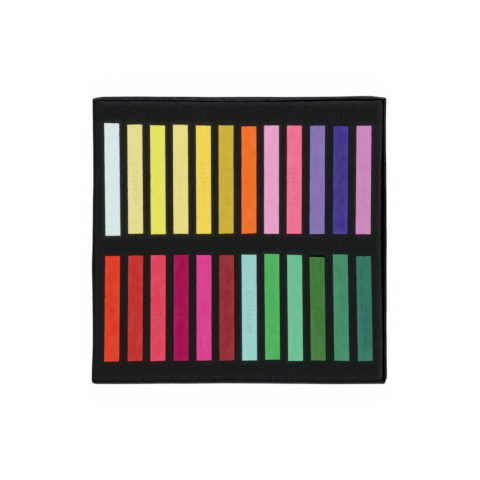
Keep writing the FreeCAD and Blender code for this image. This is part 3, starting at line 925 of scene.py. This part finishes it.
def worn_bar(name, length, seed):
    """A stick's points about its own middle, and its marks.

    Each point of the box keeps to the worn radius from the nearest point of a smaller box,
    so that edges become round.  Waves make the faces uneven, chips are where another wave
    peaks near an edge, and the digits are pressed into the top.  Both ends are cut a little
    crooked, and a scuff is a bell curve about its place."""
    box, shape = bar_box(length)
    half = np.array([STICK / 2, length / 2, STICK / 2])
    to_faces = np.sort(half - abs(box), axis=1)
    by_edge = np.exp(-((to_faces[:, 1] / 0.5) ** 2))
    near_edge = np.exp(-to_faces[:, 1] / 0.9)
    spots = box * (1, 0.5, 1)
    radius = (WORN_RADIUS * (1 + 0.4 * waves(spots, 5, seed)))[:, None]
    core = np.clip(box, radius - half, half - radius)
    outward = box - core
    outward /= np.linalg.norm(outward, axis=1, keepdims=True)
    chips = CHIP_DEPTH * smooth((waves(spots, 1.8, seed + 1) - 0.62) / 0.5) * by_edge
    if name in NICKS:
        across, size, nick = NICKS[name]
        away = np.linalg.norm(box - (across, length / 2, STICK / 2), axis=1)
        chips = chips + nick * np.exp(-((away / size) ** 2))
    broad, fine = waves(box * (1, 0.35, 1), 7, seed + 2), waves(box, 1.6, seed + 3)
    uneven = 0.045 * broad + 0.02 * fine - 0.04
    on_top = (box[:, 2] > half[2] - 1e-6) & (to_faces[:, 1] > 0.5)
    digits = pressed_digits(box[:, 0], box[:, 1] - length * (0.5 - DIGITS_START)) * on_top
    depth = PRESSED.get(name, USUAL_PRESS)
    points = core + outward * (radius + (uneven - chips - depth * digits)[:, None])
    for end, slant in zip((-1, 1), CROOKED.get(name, (0, 0))):
        by_end = smooth((end * box[:, 1] - length / 2 + CROOKED_REACH) / CROOKED_REACH)
        points[:, 1] += slant * by_end * box[:, 0] / STICK
    scuffed = np.zeros(len(box))
    for across, along, wide, long, strength in SCUFFS.get(name, ()):
        away = ((box[:, 0] - across) / wide) ** 2 + ((box[:, 1] - along) / long) ** 2
        scuffed += strength * np.exp(-away)
    marks = {
        # Paler edges: partly rubbed chalk, partly a painted highlight where the rounded edges catch the
        # light.
        "edge": 0.5 * (by_edge + near_edge),
        # Painted shade in the digits, fuller the deeper they are pressed.
        "pressed": digits * min(depth / FULL_SHADE_PRESS, 1),
        "chipped": np.clip(chips / 0.3, 0, 1),
        "scuffed": scuffed,
    }
    return points, ring_faces(*shape), marks


def towards(shade, other, share):
    """The colour a share of the way from one to another, less what its chalk's bloom adds."""
    mixed = np.array(shade) * (1 - share) + np.array(other) * share
    return colour(*np.maximum(mixed - BLOOM, 0))


def pastel(name, shade):
    """A pressed pastel: cloudy chalk, drawn lengthwise, paler along its edges, partly rubbed and partly a
    painted highlight, with painted shade in its digits.
    """
    finish = Finish(f"pastel_{name}", roughness=0.9, specular=0.04)
    clouds = finish.grain(1.5, detail=4, stretch=(1, 0.6, 1), rough=0.65).between(0.3, 0.7)
    powder = finish.grain(0.32, detail=3, rough=0.7)
    drag = finish.grain(0.75, detail=3, stretch=(1, 0.02, 1), rough=0.65).between(0.35, 0.65)
    deep = towards(shade, (0, 0, 0), 0.02)
    pale = towards(shade, (250, 246, 240), 0.03)
    body = clouds.mix(deep, pale)
    blotches = finish.grain(3.4, detail=4, stretch=(1, 0.55, 1), rough=0.6).between(0.4, 0.68)
    body = blotches.mix(body, towards(shade, (236, 232, 230), 0.08))
    streak = STREAKED.get(name, USUAL_STREAK)
    body = (streak * 0.4 * drag).mix(body, towards(shade, (225, 225, 215), 0.2))
    body = (powder.between(0.55, 0.8) * 0.25).mix(body, towards(shade, (255, 252, 246), 0.2))
    scuffed = finish.mark("scuffed") * (0.3 + 0.7 * clouds)
    body = scuffed.mix(body, towards(shade, (222, 226, 222), 0.16))
    # Painted shade in the pressed digits.
    pressed = finish.mark("pressed") * 0.35
    body = pressed.mix(body, towards(shade, np.array(shade) * 0.72, 0.8))
    # Paler edges: partly rubbed chalk, partly a painted highlight where the rounded edges catch the light.
    rubbed = finish.mark("edge") * (0.45 + 0.55 * finish.grain(1.1, detail=3).between(0.3, 0.65))
    body = (rubbed * 0.3 + finish.mark("chipped") * 0.3).mix(body, towards(shade, (250, 246, 238), 0.26))
    finish.set(base_color=body, roughness=0.82 + 0.14 * clouds)
    finish.relief(powder * 0.6 + drag * (0.25 + 0.5 * streak), 0.05)
    return finish.material


for number, (_, name, _, _, angle) in enumerate(slots):
    body, dressed = f"stick_{name}", f"pastel_{name}"
    points, faces, marks = worn_bar(name, stick_length(name, angle), seed=100 + 10 * number)
    points[:, :2] = turned(points[:, :2], angle)
    points += sum(extent(body)) / 2
    stick = make_piece(dressed, points, faces, marks, pastel(name, CHALKS[name]), body)
    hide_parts(body)


# ---------------------------------------------------------------------------------------------
# The room.  A white floor that keeps a faint shadow, an even white surround, and two broad
# lamps before and behind the tray, as over a copying table, with the camera straight above.
# ---------------------------------------------------------------------------------------------
FLOOR_SIZE = 6.0  # metres, as the rest of the room
FLOOR_DROP = 2e-5  # keeps the floor out of the tray's underside
FLOOR_OWN_WHITE = 0.96
ROOM_LIGHT = 0.5
LAMP_SIZE = 0.5
LAMP_AWAY = 0.75
LAMP_POWER = 4.95
CAMERA_HEIGHT = 0.9  # over the sticks' tops
CAMERA_ASIDE = (0.00036, 0.00018)
SENSOR = 36  # millimetres, as the lens
LENS = 112.5
STICK_TOPS = extent("stick_red")[1][2] / 1000


def seen(tree):
    """1 for a camera, mirror or glass ray, else 0."""
    rays = tree.nodes.new("ShaderNodeLightPath").outputs
    shows = Tint(tree, rays["Is Camera Ray"])
    for kind in ("Glossy", "Transmission"):
        shows = shows.sum_of("MAXIMUM", shows, Tint(tree, rays[f"Is {kind} Ray"]))
    return shows


def white_floor():
    """White that lights the object as a plain surface does, and shows mostly as white itself."""
    material = bpy.data.materials.new("white_floor")
    material.use_nodes = True
    tree = material.node_tree
    tree.nodes.clear()
    shows = seen(tree)
    plain = shows.node("ShaderNodeBsdfDiffuse", (), {"Color": (0.9, 0.9, 0.9, 1)})
    own = shows.node("ShaderNodeEmission", (), {"Color": (1, 1, 1, 1), "Strength": 1.0})
    mixed = shows.node("ShaderNodeMixShader", (), {0: shows * FLOOR_OWN_WHITE, 1: plain, 2: own})
    output = tree.nodes.new("ShaderNodeOutputMaterial")
    tree.links.new(mixed.socket, output.inputs["Surface"])
    return material


def surround():
    """The world: an even light on the object, and plain white where the camera sees it."""
    world = bpy.data.worlds.new("surround")
    world.use_nodes = True
    tree = world.node_tree
    tree.nodes.clear()
    shows = seen(tree)
    light = shows.node("ShaderNodeBackground", (), {"Color": (1, 1, 1, 1), "Strength": ROOM_LIGHT})
    white = shows.node("ShaderNodeBackground", (), {"Color": (1, 1, 1, 1), "Strength": 1.0})
    mixed = shows.node("ShaderNodeMixShader", (), {0: shows, 1: light, 2: white})
    output = tree.nodes.new("ShaderNodeOutputWorld")
    tree.links.new(mixed.socket, output.inputs["Surface"])
    bpy.context.scene.world = world


def lamp(end):
    """A broad soft lamp at 45 degrees, before the tray or behind it."""
    light = bpy.data.lights.new("soft_lamp", "AREA")
    light.size = LAMP_SIZE
    light.energy = LAMP_POWER
    holder = bpy.data.objects.new("soft_lamp", light)
    holder.location = (0, end * LAMP_AWAY, LAMP_AWAY)
    holder.rotation_euler = (end * math.radians(-45), 0, 0)
    bpy.context.scene.collection.objects.link(holder)


floor_mesh = bpy.data.meshes.new("floor")
reach = FLOOR_SIZE / 2
corners = ((-reach, -reach), (reach, -reach), (reach, reach), (-reach, reach))
floor_mesh.from_pydata([(x, y, -FLOOR_DROP) for x, y in corners], [], [(0, 1, 2, 3)])
floor_mesh.materials.append(white_floor())
floor = bpy.data.objects.new("floor", floor_mesh)
bpy.context.scene.collection.objects.link(floor)
surround()
lamp(-1)
lamp(1)

view = bpy.data.cameras.new("camera")
view.sensor_width = SENSOR
view.lens = LENS
view.clip_start = 0.05
camera = bpy.data.objects.new("camera", view)
camera.location = (*CAMERA_ASIDE, CAMERA_HEIGHT + STICK_TOPS)
bpy.context.scene.collection.objects.link(camera)
bpy.context.scene.camera = camera
bpy.context.scene.view_settings.view_transform = "Standard"
